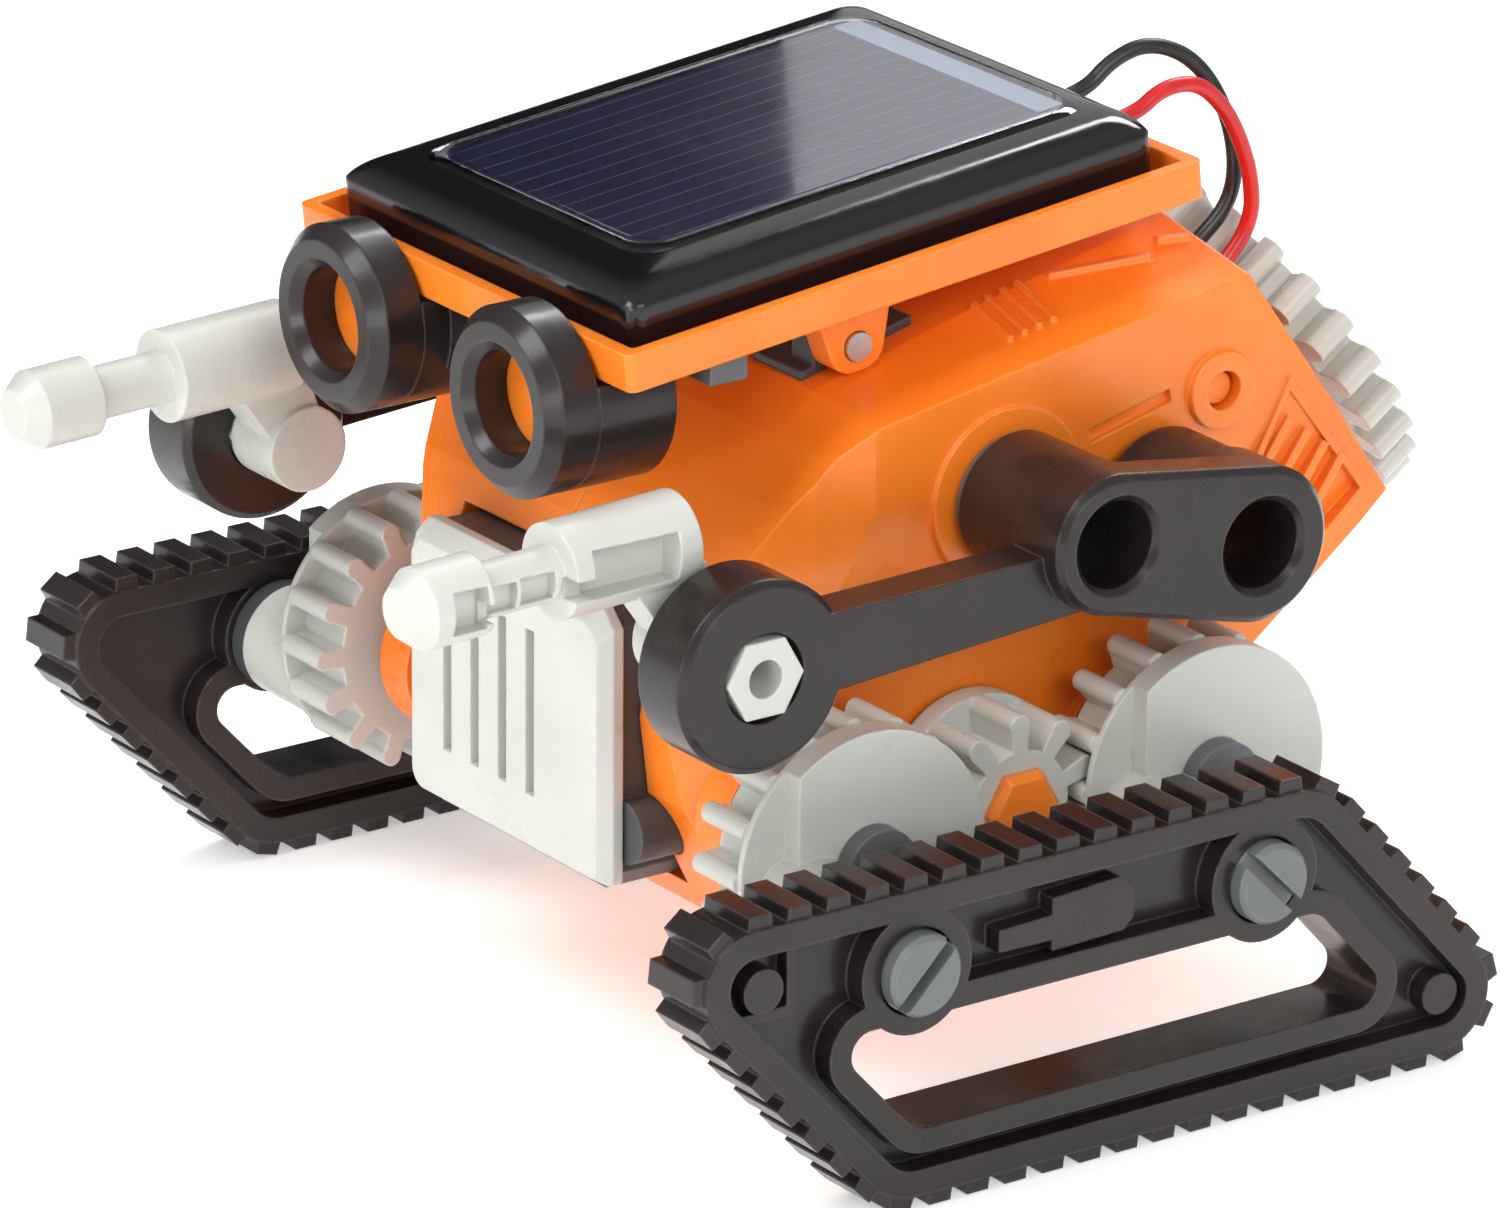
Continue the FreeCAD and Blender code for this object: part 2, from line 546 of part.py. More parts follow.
def make_shell(word, side):
    body = new_body("body_shell_" + word)
    loft_shell(body, side)
    cut(body, "room", [segments(ROOM)], "-0.5", "dims.wall_x + 0.5", side)
    cut(body, "housing_bay", [segments([(-26, 16.6), (-14.1, 16.6), (-14.1, 43.6), (-26, 43.6)])],
        "-0.5", "dims.house_half + 0.7", side)
    cut(body, "lug_bay", [disc(side * 15.0, 22.8, 3.0)], "dims.house_back + 1.1", "8", 1, "XZ")
    taper = [(side * 23.6, 13.0), (side * 28.3, 55.0), (side * 30.0, 55.0), (side * 30.0, 13.0)]
    cut(body, "taper", [segments(taper)], "-60", "90", 1, "XZ")
    cut(body, "nose_corner", [segments([(side * x, y) for x, y in NOSE])], "0", "80", 1, "XY")
    for end, way in (("front", -1), ("rear", 1)):
        across = MIDDLE_Y + way * dim("gear_span")
        slab(body, end + "_gear_seat", [disc(across, GEAR_Z, 4.6)], "dims.wall_x - 1.5", "29.0 - dims.wall_x + 1.5", side)
        slab(body, end + "_gear_ring", [disc(across, GEAR_Z, 7.4), disc(across, GEAR_Z, 6.2)],
             "dims.wall_x + 0.5", "26.6 - dims.wall_x - 0.5", side)
    slab(body, "arm_seat_ring", [disc(dim("elbow_y"), dim("elbow_z"), 7.9)],
         "dims.body_half - 1.5", "1.9", side)
    slab(body, "side_boss", [disc(31.7, 56.6, 3.5)], "dims.body_half - 1", "1.7", side)
    ribs = []
    for k in range(4):
        ribs.append(bar(36.6 + 2.0 * k, 48.6 - 1.5 * k, 39.4 + 2.0 * k, 52.6 - 1.5 * k, 0.8))
    slab(body, "flank_ribs", ribs, "dims.body_half - 1", "1.5", side)
    slab(body, "flank_frame", [segments([(34.2, 46.9), (43.6, 40.0), (48.6, 44.2), (39.4, 56.4)]),
                               segments([(35.2, 46.9), (43.5, 41.0), (47.6, 44.4), (39.3, 55.1)])],
         "dims.body_half - 1.6", "1.9", side)
    cut(body, "flank_groove", [bar(17.6, 54.9, 26.3, 57.0, 1.3)], "dims.body_half - 0.7", "2", side)
    cut(body, "side_boss_hole", [disc(31.7, 56.6, 1.8)], "dims.body_half - 3", "6", side)
    cut(body, "peg_hole", [disc(dim("elbow_y"), dim("elbow_z"), 3.0)],
        "dims.wall_x - 1", "8", side)
    for end, way in (("front", -1), ("rear", 1)):
        across = MIDDLE_Y + way * dim("gear_span")
        cut(body, end + "_journal_bore", [disc(across, GEAR_Z, "dims.journal_radius + dims.journal_clear")],
            "dims.wall_x - 2", "12", side)
    cut(body, "axle_hole", [disc(MIDDLE_Y, GEAR_Z, "dims.axle_bore")], "dims.wall_x - 2", "12", side)
    for k, across in enumerate((11.6, 13.1, 14.7, 16.2)):
        high = shoulder_height(18.8, across)
        low = shoulder_height(24.5, across)
        rib = segments([(side * 18.8, high + 0.5), (side * 24.5, low + 0.5),
                        (side * 24.5, low - 0.8), (side * 18.8, high - 0.8)])
        slab(body, "shoulder_rib_%d" % k, [rib], "%g" % -(across + 0.3), "0.6", 1, "XZ")
    for k, (x0, y0, x1, y1) in enumerate(((19.6, 19.0, 22.4, 28.0), (21.2, 29.6, 22.2, 32.4))):
        tapered(body, "shoulder_bar_%d" % k, bar_section(side * x0, y0), "%g" % -y0,
                bar_section(side * x1, y1), "%g" % -y1, 1, "XZ")
    return body


for word, side in SIDES:
    make_shell(word, side)

doc.recompute()
# the flywheel shaft's bearing hole through both shells
bearing_base = FLY_CENTRE - FLY_AXIS * 8.9
for k, shell in enumerate([n for n in NODES if n.Label.startswith("body_shell")]):
    NODES.remove(shell)
    word = shell.Label.replace("body_shell_", "")
    shell.Label = shell.Label + "_blank"
    bore = rod("bearing_hole_" + word, "3.2", "8", tuple(bearing_base - FLY_AXIS * 5), tuple(FLY_AXIS))
    keep(minus("bored_shell_" + word, shell, bore), "body_shell_" + word)

# ------------------------------------------------------------------ motor housing and cover
housing = new_body("motor_housing")
HOUSE = [(-14.8, 19.0), (-12.8, 17.0), (12.8, 17.0), (14.8, 19.0), (14.8, 41.4), (12.9, 43.3),
         (-12.9, 43.3), (-14.8, 41.4)]
slab(housing, "box", [segments(HOUSE)], "dims.house_back", "dims.house_front - dims.house_back", 1, "XZ")
cut(housing, "inside", [segments(grown(HOUSE, -1.6))],
    "dims.house_back - 0.5", "dims.house_front - dims.house_back - 1.1", 1, "XZ")
for side in (1, -1):
    slab(housing, "lug_%s" % ("a" if side > 0 else "b"), [disc(side * 15.0, 22.8, 2.9)],
         "dims.house_back + 1.3", "6.7", 1, "XZ")

cover = new_body("motor_cover")
COVER = [(-15.3, 17.9), (15.3, 17.9), (15.3, 41.6), (13.2, 43.7), (-13.2, 43.7), (-15.3, 41.6)]
COVER_FACE = [(-14.3, 18.6), (14.3, 18.6), (14.3, 40.3), (12.9, 41.8), (-12.9, 41.8), (-14.3, 40.3)]
COVER_ROUND = [1.8, 0.8, 0.4, 0.4, 0.4, 0.4]
slab(cover, "plate", [rounded(COVER, COVER_ROUND)], "dims.house_front", "dims.cover_edge", 1, "XZ")
tapered(cover, "bevel", rounded(COVER, COVER_ROUND), "dims.house_front + dims.cover_edge",
        rounded(COVER_FACE, COVER_ROUND), "dims.house_front + dims.cover_edge + dims.cover_bevel",
        1, "XZ")
slots = [bar(x, 23.3, x, 38.6, 1.3) for x in (-8.7, -4.4, -0.1, 4.2)]
cut(cover, "vents", slots, "dims.house_front + 1.0", "3.0", 1, "XZ")

# ------------------------------------------------------------------ motor and fine gear train
STEP = dim("fine_module") * (dim("wheel_teeth") + dim("pinion_teeth")) / 2
LAY_ANGLE = 78.0
MOTOR_ANGLE = 165.0
LAY_Y = MIDDLE_Y + STEP * math.cos(math.radians(LAY_ANGLE))
LAY_Z = GEAR_Z + STEP * math.sin(math.radians(LAY_ANGLE))
MOTOR_Y = LAY_Y + STEP * math.cos(math.radians(MOTOR_ANGLE))
MOTOR_Z = LAY_Z + STEP * math.sin(math.radians(MOTOR_ANGLE))


def fine_gear(body, name, teeth, start, length, phase, bore):
    """Small spur gear with rounded teeth; phase is the first tooth's angle."""
    pitch = dim("fine_module") * teeth / 2
    root = pitch - 1.1 * dim("fine_module")
    tip = pitch + 0.75 * dim("fine_module")
    width = 0.33 * math.pi * dim("fine_module")
    slab(body, name + "_core", [disc(0, 0, root), disc(0, 0, bore)], start, length)
    first = slab(body, name + "_tooth", [tooth(root, tip, width, phase, 1.3)], start, length)
    around(body, first, teeth)


half_wheel = 180.0 / dim("wheel_teeth")
half_pinion = 180.0 / dim("pinion_teeth")

motor = new_body("motor_can", (0, MOTOR_Y, MOTOR_Z))
slab(motor, "can", [disc(0, 0, "dims.motor_radius"), disc(0, 0, "dims.shaft_radius + 0.05")],
     "-12", "dims.motor_long")
slab(motor, "nose", [disc(0, 0, 2.6), disc(0, 0, "dims.shaft_radius + 0.05")], "10", "1.2")

rotor = new_body("motor_rotor", (0, MOTOR_Y, MOTOR_Z))
slab(rotor, "spindle", [disc(0, 0, "dims.shaft_radius")], "-11", "26.8")
fine_gear(rotor, "pinion", int(dim("pinion_teeth")), "12", "3.8", MOTOR_ANGLE + 180 + half_pinion,
          "dims.shaft_radius")

lay = new_body("reduction_gear", (0, LAY_Y, LAY_Z))
fine_gear(lay, "wheel", int(dim("wheel_teeth")), "12.2", "3.0", MOTOR_ANGLE, "dims.shaft_radius + 0.05")
fine_gear(lay, "pinion", int(dim("pinion_teeth")), "15.2", "5.4", LAY_ANGLE + 180 + half_pinion,
          "dims.shaft_radius + 0.05")

lay_shaft = new_body("gear_shaft", (0, LAY_Y, LAY_Z))
slab(lay_shaft, "spindle", [disc(0, 0, "dims.shaft_radius")], "-dims.wall_x", "2 * dims.wall_x")

axle_gear = new_body("axle_gear", (0, MIDDLE_Y, GEAR_Z))
fine_gear(axle_gear, "wheel", int(dim("wheel_teeth")), "17.2", "3.0", LAY_ANGLE, "dims.round_radius")

worm_wheel = new_body("worm_wheel", (0, MIDDLE_Y, GEAR_Z))
slab(worm_wheel, "rim", [disc(0, 0, 5.0), disc(0, 0, "dims.round_radius")], "-2.2", "4.4")

# ------------------------------------------------------------------ flywheel at the back
fly_turn = Rotation(Vector(0, 0, 1), FLY_AXIS)
fly = new_body("rear_wheel", tuple(FLY_CENTRE - FLY_AXIS * 4.4), fly_turn)
slab(fly, "rim", [disc(0, 0, "dims.fly_root"), disc(0, 0, "dims.fly_shaft")], "0", "dims.fly_thick", 1, "XY")
fly_tooth = slab(fly, "tooth", [tooth(dim("fly_root"), dim("fly_tip"), 2.3, 90, 1.25)],
                 "0", "dims.fly_thick", 1, "XY")
around(fly, fly_tooth, 27, "Z_Axis")
cut(fly, "outer_dish", [disc(0, 0, "dims.fly_root - 2.2"), disc(0, 0, 4.4)],
    "dims.fly_thick - 1.6", "3", 1, "XY")
cut(fly, "inner_dish", [disc(0, 0, "dims.fly_root - 2.2"), disc(0, 0, 4.4)], "-1", "2.4", 1, "XY")

shaft = new_body("wheel_shaft", tuple(FLY_CENTRE - FLY_AXIS * 60.0), fly_turn)
slab(shaft, "spindle", [disc(0, 0, "dims.fly_shaft")], "0", "60.4", 1, "XY")
slab(shaft, "nut", [hexagon(0, 0, 5.0)], "60.0", "1.8", 1, "XY")
worm = new_body("drive_worm", tuple(FLY_CENTRE - FLY_AXIS * 59.0), fly_turn)
slab(worm, "sleeve", [disc(0, 0, "dims.worm_radius - 0.5"), disc(0, 0, "dims.fly_shaft")],
     "0", "5.0", 1, "XY")
for k in range(4):
    slab(worm, "thread_%d" % k, [disc(0, 0, "dims.worm_radius"), disc(0, 0, "dims.fly_shaft")],
         "%g" % (0.3 + 1.2 * k), "0.7", 1, "XY")
bearing = new_body("rear_bearing", tuple(bearing_base - FLY_AXIS * 3.5), fly_turn)
slab(bearing, "sleeve", [disc(0, 0, 3.2), disc(0, 0, "dims.fly_shaft + 0.05")], "0", "7.6", 1, "XY")
slab(bearing, "flange", [disc(0, 0, 5.4), disc(0, 0, "dims.fly_shaft + 0.05")], "3.55", "1.6", 1, "XY")

# ------------------------------------------------------------------ neck hinge
HY = dim("hinge_y")
HZ = dim("hinge_z")
for word, side in SIDES:
    neck = new_body("neck_bracket_" + word)
    slab(neck, "ear", [rounded([(HY - 2.3, 62.0), (HY + 2.3, 63.2), (HY + 2.3, HZ + 2.3),
                                (HY - 2.3, HZ + 2.3)], [0.0, 0.0, 2.2, 2.2]),
                       disc(HY, HZ, "dims.hinge_radius")], "13.6", "3.2", side)
    slab(neck, "foot", [segments([(-5.0, 61.10), (6.5, 64.09), (6.5, 64.89), (-5.0, 61.90)])],
         "9.6", "7.2", side)
pin = new_body("head_hinge_pin", (0, HY, HZ))
slab(pin, "rod", [disc(0, 0, "dims.hinge_radius")], "-20.4", "40.8")

# ------------------------------------------------------------------ head tray and solar panel
tilt = Rotation(Vector(1, 0, 0), dim("tray_tilt"))
TRAY_BASE = (0, -29.0, 70.2)
tray = new_body("head_tray", TRAY_BASE, tilt)


def plan(half, y0, y1, radius):
    """Rounded rectangle seen from above."""
    return rounded([(-half, y0), (half, y0), (half, y1), (-half, y1)], radius)


slab(tray, "pan", [plan(dim("tray_half"), 0, dim("tray_long"), 0.9)],
     "-dims.tray_high", "dims.tray_high", 1, "XY")
cut(tray, "well", [plan(dim("tray_half") - dim("tray_rim"), dim("tray_rim"),
                        dim("tray_long") - dim("tray_rim"), 0.5)],
    "-dims.tray_high + 1.2", "dims.tray_high", 1, "XY")
local = tilt.inverted().multVec(Vector(0, HY, HZ) - Vector(*TRAY_BASE))
for word, side in SIDES:
    slab(tray, "lug_" + word, [rounded([(local.y - 2.3, local.z - 2.3), (local.y + 2.3, local.z - 2.3),
                                        (local.y + 4.5, -2.8), (local.y - 4.5, -2.8)],
                                       [2.2, 2.2, 0, 0]),
                               disc(local.y, local.z, "dims.hinge_radius + 0.06")],
         "17.1", "2.9", side)

P0 = dim("panel_from")
P1 = P0 + dim("panel_long")


def domed(body, name, levels):
    """Smooth loft through plans, each given by its height expression and its inset."""
    plans = []
    for k, (height, inset) in enumerate(levels):
        outline = plan(dim("panel_half") - inset, P0 + inset, P1 - 0.6 * inset, 1.6 + 0.3 * inset)
        plans.append(sketch(body, "%s_%d" % (name, k), "XY", [outline], height))
    loft = body.newObject("PartDesign::AdditiveLoft", name)
    loft.Profile = plans[0]
    loft.Sections = plans[1:]
    loft.Ruled = False
    body.Tip = loft
    return loft


case = new_body("solar_panel_case", TRAY_BASE, tilt)
slab(case, "tub", [plan(dim("panel_half"), P0, P1, 1.6)],
     "-dims.tray_high + 1.2", "dims.tray_high - 1.2 + dims.panel_side", 1, "XY")
domed(case, "shoulders", (("dims.panel_side", 0.0), ("dims.panel_top - 0.75", 1.2),
                          ("dims.panel_top - 0.2", 2.9), ("dims.panel_top", 4.8)))
cut(case, "cell_well", [plan(dim("cell_half") + 0.1, dim("cell_from") - 0.1, dim("cell_to") + 0.1, 0.5)],
    "dims.panel_top - 0.5", "1", 1, "XY")
cell = new_body("solar_cell", TRAY_BASE, tilt)
slab(cell, "wafer", [plan(dim("cell_half"), dim("cell_from"), dim("cell_to"), 0.4)],
     "dims.panel_top - 0.5", "0.3", 1, "XY")
busbar = new_body("solar_busbar", TRAY_BASE, tilt)
slab(busbar, "strip", [plan(dim("cell_half") - 0.7, dim("cell_to") - 3.4, dim("cell_to") - 0.8, 0.2)],
     "dims.panel_top - 0.2", "0.16", 1, "XY")
resin = new_body("solar_resin", TRAY_BASE, tilt)
domed(resin, "dome", (("dims.panel_top + 0.02", 4.9), ("dims.resin_top - 0.15", 5.3),
                      ("dims.resin_top", 6.6)))

bracket = new_body("eye_bracket")
UNDER = 66.4
drop = dim("eye_z") - UNDER
for word, side in SIDES:
    x = side * dim("eye_x")
    half = math.sqrt(dim("eye_radius") ** 2 - drop ** 2)
    cheek = [Part.LineSegment(Vector(x - half, UNDER, 0), Vector(x + half, UNDER, 0)),
             Part.Arc(Vector(x - half, UNDER, 0), Vector(x, dim("eye_z") - dim("eye_radius"), 0),
                      Vector(x + half, UNDER, 0))]
    slab(bracket, "cheek_" + word, [cheek], "21.5", "7.8", 1, "XZ")
slab(bracket, "bridge", [segments([(-12.0, 60.0), (12.0, 60.0), (12.0, UNDER), (-12.0, UNDER)])],
     "21.5", "5.0", 1, "XZ")
for word, side in SIDES:
    eye = new_body("eye_" + word)
    x = side * dim("eye_x")
    eye.Placement = Placement(Vector(x, -29.3, dim("eye_z")), Rotation())
    turned(eye, "tube", [(dim("eye_hole"), 0), (dim("eye_radius"), 0),
                         (dim("eye_radius"), -dim("eye_long") + 1.3),
                         (dim("eye_radius") - 1.3, -dim("eye_long")),
                         (dim("eye_hole") + 0.9, -dim("eye_long")),
                         (dim("eye_hole"), -dim("eye_long") + 0.9)])
    back = new_body("eye_back_" + word)
    slab(back, "disc", [disc(x, dim("eye_z"), "dims.eye_hole - 0.02")], "29.35", "0.7", 1, "XZ")

clip = new_body("tray_clip")
slab(clip, "block", [segments([(-18.2, 64.6), (-14.4, 64.6), (-14.4, 68.3), (-18.2, 67.9)])], "18.6", "3.4")

# ------------------------------------------------------------------ arms, pegs and blasters
EY, EZ = dim("elbow_y"), dim("elbow_z")
RY, RZ = dim("rear_y"), dim("rear_z")
KY, KZ = dim("ring_y"), dim("ring_z")

for word, side in SIDES:
    arm = new_body("arm_" + word)
    rim = "dims.arm_face - dims.rim_cut"
    slab(arm, "front_eye", [disc(EY, EZ, 6.3)], "dims.arm_in", rim + " - dims.arm_in", side)
    slab(arm, "rear_eye", [disc(RY, RZ, 7.0)], "dims.arm_in", rim + " - dims.arm_in", side)
    slab(arm, "valley", [segments([(EY + 0.4, EZ + 4.4), (RY + 0.2, RZ + 5.1), (RY - 2.4, RZ - 5.3),
                                   (EY - 1.4, EZ - 4.7)])], "dims.arm_in", "3.5", side)
    slab(arm, "face", [stadium(EY, EZ, 6.3, RY, RZ, 7.0)],
         "dims.arm_in + 2.6", rim + " - dims.arm_in - 2.6", side)
    tapered(arm, "face_rim", stadium(EY, EZ, 6.3, RY, RZ, 7.0), rim,
            stadium(EY, EZ, 5.7, RY, RZ, 6.4), "dims.arm_face", side)
    slab(arm, "front_barrel", [disc(EY, EZ, 6.2)], "dims.barrel_in", "dims.arm_in - dims.barrel_in + 1", side)
    slab(arm, "rear_barrel", [disc(RY, RZ, 6.6)], "dims.barrel_in", "dims.arm_in - dims.barrel_in + 1", side)
    slab(arm, "bar", [segments([(-26.4, 50.2), (6.0, 51.0), (8.0, 45.4), (-26.4, 43.0)])],
         "dims.arm_in", "4.2", side)
    slab(arm, "ring", [disc(KY, KZ, "dims.ring_radius")], "34.9 + dims.rim_cut", "6.8 - 2 * dims.rim_cut", side)
    tapered(arm, "ring_rim_out", disc(KY, KZ, "dims.ring_radius"), "41.7 - dims.rim_cut",
            disc(KY, KZ, "dims.ring_radius - dims.rim_cut"), "41.7", side)
    tapered(arm, "ring_rim_in", disc(KY, KZ, "dims.ring_radius"), "34.9 + dims.rim_cut",
            disc(KY, KZ, "dims.ring_radius - dims.rim_cut"), "34.9", side)
    cut(arm, "ring_hole_cut", [disc(KY, KZ, "dims.ring_hole")], "33", "10", side)
    cut(arm, "elbow_bore", [disc(EY, EZ, "dims.hole_radius")], "dims.barrel_in - 1", "17", side)
    cut(arm, "rear_bore", [disc(RY, RZ, "dims.hole_radius")], "dims.barrel_in - 1", "17", side)
    for name, y, z in (("elbow", EY, EZ), ("rear", RY, RZ)):
        tapered(arm, name + "_mouth", disc(y, z, "dims.hole_radius"), rim,
                disc(y, z, "dims.hole_radius + dims.rim_cut"), "dims.arm_face", side, "YZ", True)

    peg = new_body("arm_peg_" + word)
    slab(peg, "stem", [disc(EY, EZ, 3.0)], "dims.wall_x + 0.5", "dims.body_half + 0.5 - dims.wall_x - 0.5", side)
    slab(peg, "collar", [disc(EY, EZ, 5.6)], "dims.body_half + 0.4", "0.9", side)
    slab(peg, "journal", [disc(EY, EZ, "dims.peg_radius")], "dims.body_half + 1.2", "4.4", side)

    gun = new_body("gun_" + word)
    slab(gun, "pivot_disc", [disc(KY, KZ, 3.9)], "28.0", "6.6", side)
    slab(gun, "hex_boss", [hexagon(KY, KZ, 6.7)], "34.0", "7.9", side)
    slab(gun, "post", [segments([(-29.6, 47.0), (-24.0, 47.0), (-26.4, 54.0), (-34.6, 54.0)])],
         "28.6", "4.6", side)
    cut(gun, "boss_hole", [disc(KY, KZ, 1.7)], "36.0", "7", side)
    drop = math.radians(dim("gun_drop"))
    aim = Rotation(Vector(0, 0, 1), Vector(0, -math.cos(drop), -math.sin(drop)))
    rear = Vector(side * dim("gun_x"), -27.6, dim("gun_z"))
    along = aim.multVec(Vector(0, 0, 1))
    doc.recompute()
    gun.Label = "gun_%s_frame" % word
    NODES.remove(gun)
    pieces = [gun]
    for name, radius, start, length in (("barrel", 4.2, 0.0, 12.6), ("neck", 2.4, 12.4, 8.2),
                                        ("muzzle", 3.6, 20.4, 5.6)):
        pieces.append(rod("gun_%s_%s" % (name, word), "%g" % radius, "%g" % length,
                          tuple(rear + along * start), tuple(along)))
    cone = doc.addObject("Part::Cone", "gun_nose_" + word)
    cone.Radius1 = 3.6
    cone.Radius2 = 2.2
    cone.Height = 1.8
    cone.Placement = Placement(rear + along * 26.0, Rotation(Vector(0, 0, 1), along))
    pieces.append(cone)
    whole = joined("gun_whole_" + word, pieces)
    # open outer flank: one long pocket in the barrel, a channel along the neck, a muzzle pocket
    tools = []
    for name, start, length, rise, height, deep in (("barrel_pocket", 2.2, 8.6, 0.1, 4.2, 1.2),
                                                    ("barrel_notch", 10.6, 2.4, -0.8, 2.0, 1.8),
                                                    ("neck_channel", 13.6, 3.4, -0.2, 2.4, 1.0),
                                                    ("neck_front", 17.4, 2.6, -0.2, 2.4, 1.0),
                                                    ("muzzle_pocket", 20.9, 3.4, -0.1, 3.8, 1.2),
                                                    ("muzzle_notch", 20.0, 1.2, -0.8, 1.8, 1.6)):
        middle = rear + along * (start + length / 2)
        tool = brick("gun_%s_%s" % (name, word), ("4.0", "%g" % length, "%g" % height),
                     (side * (dim("gun_x") + deep + 2.0) - 2.0, middle.y - length / 2,
                      middle.z + rise - height / 2))
        tools.append(tool)
    tool = joined("gun_pockets_" + word, tools)
    keep(minus("gun_cut_" + word, whole, tool), "gun_" + word)

# ------------------------------------------------------------------ screws
body_screws = []
for k, (y, z) in enumerate(((31.7, 56.6),)):
    for word, side in SIDES:
        body_screws.append(rod("side_screw_%d_%s" % (k, word), "1.5", "2.2",
                               (side * (dim("body_half") - 2.6), y, z), (side, 0, 0)))
keep(joined("side_screw_set", body_screws), "side_screws")


# ------------------------------------------------------------------ solar leads
def lead_wire(points):
    """Straight runs joined by the largest tangent arcs that the runs allow."""
    corners = []
    radii = []
    for i in range(1, len(points) - 1):
        back = points[i - 1] - points[i]
        ahead = points[i + 1] - points[i]
        short = min(back.Length, ahead.Length)
        back.normalize()
        ahead.normalize()
        turn = math.pi - back.getAngle(ahead)
        reach = 0.45 * short
        radius = reach / math.tan(turn / 2)
        radii.append(radius)
        middle = back + ahead
        middle.normalize()
        centre = points[i] + middle * math.hypot(reach, radius)
        corners.append((points[i] + back * reach, centre - middle * radius, points[i] + ahead * reach))
    edges = []
    here = points[0]
    for enter, top, leave in corners:
        edges.append(Part.makeLine(here, enter))
        edges.append(Part.Arc(enter, top, leave).toShape())
        here = leave
    edges.append(Part.makeLine(here, points[-1]))
    print("lead radii mm", [round(r, 1) for r in radii])
    return Part.Wire(edges)


LEADS = {
    "black_wire": [(8.0, 28.56, 78.20), (8.0, 31.59, 78.53), (8.1, 34.4, 80.95), (8.6, 38.2, 82.1),
                   (9.6, 42.4, 80.2), (10.9, 44.9, 75.9), (12.0, 45.6, 71.0), (12.4, 44.6, 67.0),
                   (11.9, 41.4, 63.9), (11.9, 38.40, 61.74)],
    "red_wire": [(15.4, 28.58, 78.00), (15.4, 31.57, 78.33), (15.4, 34.4, 80.2), (15.4, 38.2, 80.2),
                 (15.3, 41.4, 77.4), (15.2, 43.4, 74.0), (15.0, 44.9, 70.2), (14.8, 45.3, 66.0),
                 (14.6, 42.47, 62.37), (14.6, 39.47, 60.21)],
}
for label, route in LEADS.items():
    points = [Vector(*p) for p in route]
    path = lead_wire(points)
    radius = dim("lead_width") / 2
    start = points[1] - points[0]
    ring = Part.Wire(Part.makeCircle(radius, points[0], start))
    tube = path.makePipeShell([ring], True, False)
    expected = math.pi * radius ** 2 * path.Length
    print(label, "length", round(path.Length, 2), "volume ratio", round(tube.Volume / expected, 4))
    lead = doc.addObject("Part::Feature", label)
    lead.Shape = tube
    lead.Placement = Placement()
    keep(lead, label)

# ------------------------------------------------------------------ checks and files
doc.recompute()
for thing in doc.Objects:
    for word in ("Invalid", "Error"):
        if word in thing.State:
            raise RuntimeError("%s is %s" % (thing.Label, word))
to_origin = Placement(Vector(0, -dim("origin_y"), 0), Rotation())
for node in NODES:
    node.Placement = to_origin.multiply(node.Placement)
doc.recompute()
labels = [node.Label for node in NODES]
if len(labels) != len(set(labels)) or len(labels) > 60:
    raise RuntimeError("labels repeat or are too many")
for node in NODES:
    if node.Shape.isNull() or not node.Shape.isValid():
        raise RuntimeError(node.Label + " has a bad shape")
os.makedirs("parts", exist_ok=True)
for node in NODES:
    node.Shape.exportStep("parts/%s.step" % node.Label)
print(len(NODES), "sub-parts written")
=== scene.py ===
import bpy
import json
import math
from mathutils import Matrix, Vector

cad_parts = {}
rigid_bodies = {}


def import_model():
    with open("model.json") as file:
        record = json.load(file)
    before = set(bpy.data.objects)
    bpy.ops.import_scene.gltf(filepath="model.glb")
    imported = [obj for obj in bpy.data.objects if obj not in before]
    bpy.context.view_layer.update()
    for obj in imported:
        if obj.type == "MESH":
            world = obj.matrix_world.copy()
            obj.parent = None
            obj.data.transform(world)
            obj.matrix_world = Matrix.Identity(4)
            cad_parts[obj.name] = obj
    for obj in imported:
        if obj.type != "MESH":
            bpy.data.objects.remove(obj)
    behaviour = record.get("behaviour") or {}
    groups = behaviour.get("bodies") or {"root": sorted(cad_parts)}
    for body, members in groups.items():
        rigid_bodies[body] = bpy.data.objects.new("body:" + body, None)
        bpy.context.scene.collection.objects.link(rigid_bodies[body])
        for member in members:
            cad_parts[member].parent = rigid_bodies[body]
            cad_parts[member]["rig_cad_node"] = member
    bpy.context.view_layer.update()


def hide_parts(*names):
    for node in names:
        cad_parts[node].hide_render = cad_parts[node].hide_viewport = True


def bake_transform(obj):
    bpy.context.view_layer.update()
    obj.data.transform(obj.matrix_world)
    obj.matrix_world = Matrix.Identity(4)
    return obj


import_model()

MM = 0.001
# added to Y in millimetres, because the frame is centred and the drawing's places are not
SHIFT = -6.4

# ---------------------------------------------------------------- camera
CAMERA_PLACE = Vector((664.856, -471.418 + SHIFT, 333.077)) * MM
SENSOR_WIDTH = 36.0
LENS = 236.376
azimuth = math.radians(54.563)
elevation = math.radians(20.109)
roll = math.radians(0.478)
right = Vector((math.cos(azimuth), math.sin(azimuth), 0))
up = Vector((-math.sin(azimuth) * math.sin(elevation), math.cos(azimuth) * math.sin(elevation),
             math.cos(elevation)))
right_rolled = right * math.cos(roll) + up * math.sin(roll)
up_rolled = up * math.cos(roll) - right * math.sin(roll)
back = right_rolled.cross(up_rolled)
camera_data = bpy.data.cameras.new("camera")
camera = bpy.data.objects.new("camera", camera_data)
bpy.context.scene.collection.objects.link(camera)
camera_data.sensor_width = SENSOR_WIDTH
camera_data.lens = LENS
camera_data.clip_start = 0.01
camera_data.clip_end = 20.0
place = Matrix.Identity(4)
